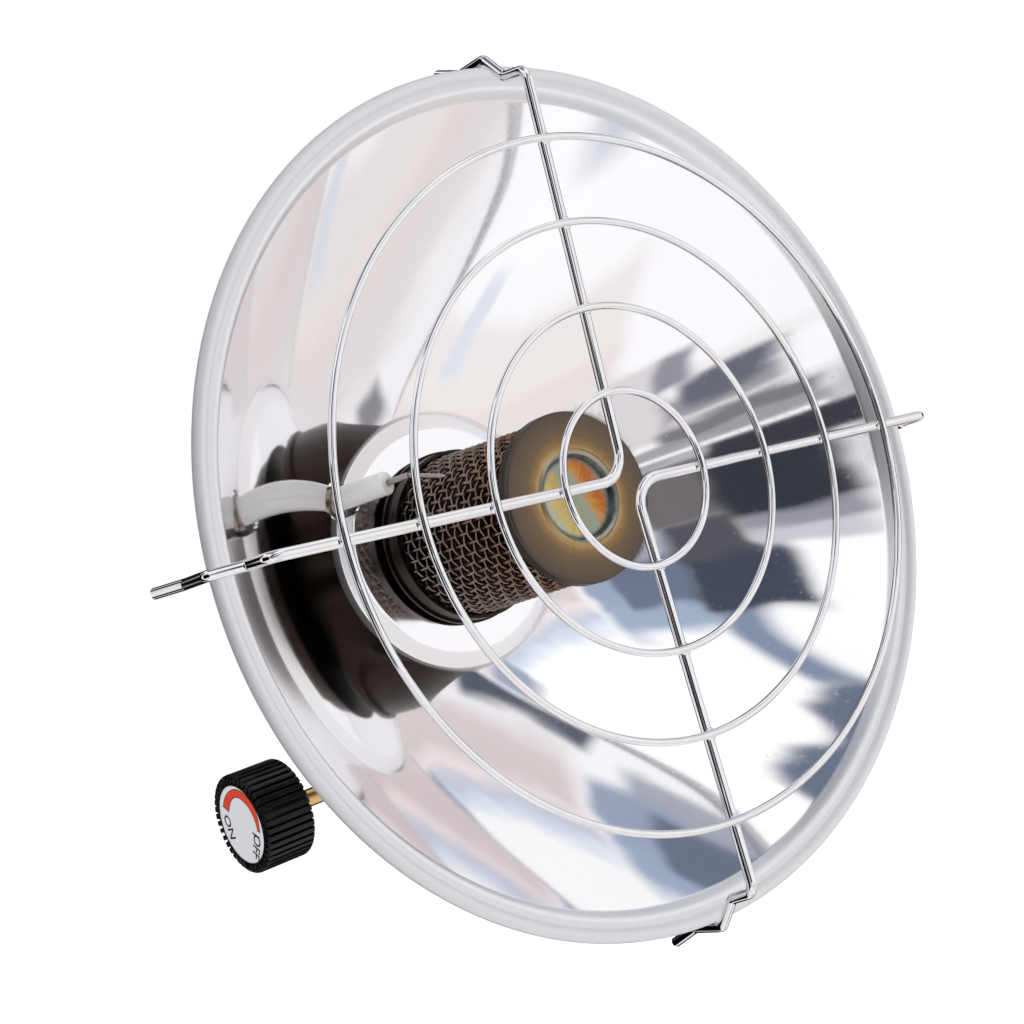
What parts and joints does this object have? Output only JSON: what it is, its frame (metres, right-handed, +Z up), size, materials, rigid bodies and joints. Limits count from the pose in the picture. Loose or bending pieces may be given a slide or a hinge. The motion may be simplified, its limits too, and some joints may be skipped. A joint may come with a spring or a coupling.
{
  "type": "portable propane heater",
  "caption": "Portable propane heater head: polished parabolic reflector, wire-cloth burner, wire guard, ribbed needle-valve knob, spark electrode and push-button igniter.",
  "frame": {"origin": "centre of the mouth of the cylinder thread", "axes": "+Z up along the cylinder axis, reflector facing -Y, control knob pointing to -X"},
  "size_m": [0.242, 0.1614, 0.2422],
  "materials": {
    "valve_metal": "machined, lightly dulled",
    "brass": "machined",
    "rubber": "matte",
    "sintered_bronze": "porous",
    "knob_plastic": "satin black",
    "dial_print": "printed white",
    "screw_steel": "zinc plated",
    "tube_steel": "plain drawn tube",
    "reflector_aluminium": "spun and polished",
    "burner_steel": "heat tinted",
    "mesh_steel": "heat tinted wire cloth",
    "cap_steel": "heat tinted",
    "ceramic": "glazed white",
    "electrode_steel": "drawn wire",
    "bracket_steel": "zinc plated sheet",
    "igniter_plastic": "moulded black",
    "button_plastic": "moulded red",
    "spring_steel": "plain",
    "crystal_ceramic": "fired",
    "guard_wire": "plated wire"
  },
  "bodies": {
    "heater_head": {"valve_body": "valve_metal", "inlet_nipple": "brass", "depressor_pin": "brass", "inlet_seal": "rubber", "inlet_filter": "sintered_bronze", "bonnet_nut": "brass", "gas_jet": "brass", "mixing_tube": "tube_steel", "tube_screws": "screw_steel", "reflector_dish": "reflector_aluminium", "dish_washer": "bracket_steel", "dish_nut": "brass", "burner_base": "burner_steel", "flame_tube": "burner_steel", "mesh_drum": "mesh_steel", "burner_cap": "cap_steel", "electrode_ceramic": "ceramic", "electrode_ferrule": "electrode_steel", "electrode_rod": "electrode_steel", "ignition_bracket": "bracket_steel", "igniter_body": "igniter_plastic", "igniter_nut": "igniter_plastic", "igniter_spring": "spring_steel", "igniter_crystal": "crystal_ceramic", "igniter_terminal": "brass", "guard_wire_top_left": "guard_wire", "guard_wire_bottom_right": "guard_wire", "guard_ring_1": "guard_wire", "guard_ring_2": "guard_wire", "guard_ring_3": "guard_wire", "guard_ring_4": "guard_wire"},
    "control_knob": {"control_knob": "knob_plastic", "knob_dial": "dial_print", "knob_screw": "screw_steel", "valve_stem": "brass", "stem_oring": "rubber"},
    "igniter_button": {"igniter_button": "button_plastic"}
  },
  "joints": [
    {"name": "knob_turn", "type": "hinge", "parent": "heater_head", "child": "control_knob", "pos_m": [0, 0, 0.028], "axis": [-1, 0, 0], "range_deg": [0, 210]},
    {"name": "button_press", "type": "slide", "parent": "heater_head", "child": "igniter_button", "axis": [0, -1, 0], "range_m": [0, 0.005], "stiffness_N_per_m": 600, "springref_m": -0.003, "deforming": ["igniter_spring"]}
  ]
}
